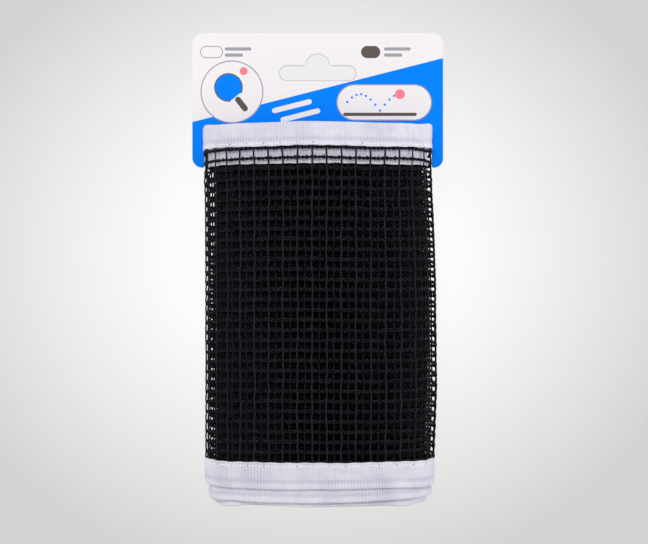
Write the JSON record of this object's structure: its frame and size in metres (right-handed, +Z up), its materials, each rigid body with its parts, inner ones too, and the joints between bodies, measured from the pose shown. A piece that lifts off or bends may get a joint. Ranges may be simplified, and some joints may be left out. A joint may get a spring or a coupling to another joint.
{
  "type": "wound table tennis net on hang card",
  "caption": "Spare table tennis net: black netting with white tape edges, wound flat round the tongue of a hang card that slides out.",
  "frame": {"origin": "middle of the part's width and height, on the flat back on which the roll lies", "axes": "+X across the roll's width, +Y along the net's height towards the card's hang hole, +Z up from the flat back through the roll's thickness"},
  "size_m": [0.107, 0.2, 0.0398],
  "materials": {
    "card": "coated print, satin",
    "netting": "knitted polyester mesh, matte",
    "tape": "ribbed woven polyester tape, matte",
    "sleeve": "plain woven polyester, matte"
  },
  "bodies": {
    "net_roll": {"netting": "netting", "top_tape": "tape", "bottom_tape": "tape", "inner_end_sleeve": "sleeve", "outer_end_sleeve": "sleeve"},
    "card": {"hang_card": "card"}
  },
  "joints": [
    {"name": "card_slide", "type": "slide", "parent": "net_roll", "child": "card", "axis": [0, 1, 0], "range_m": [0, 0.125]}
  ]
}
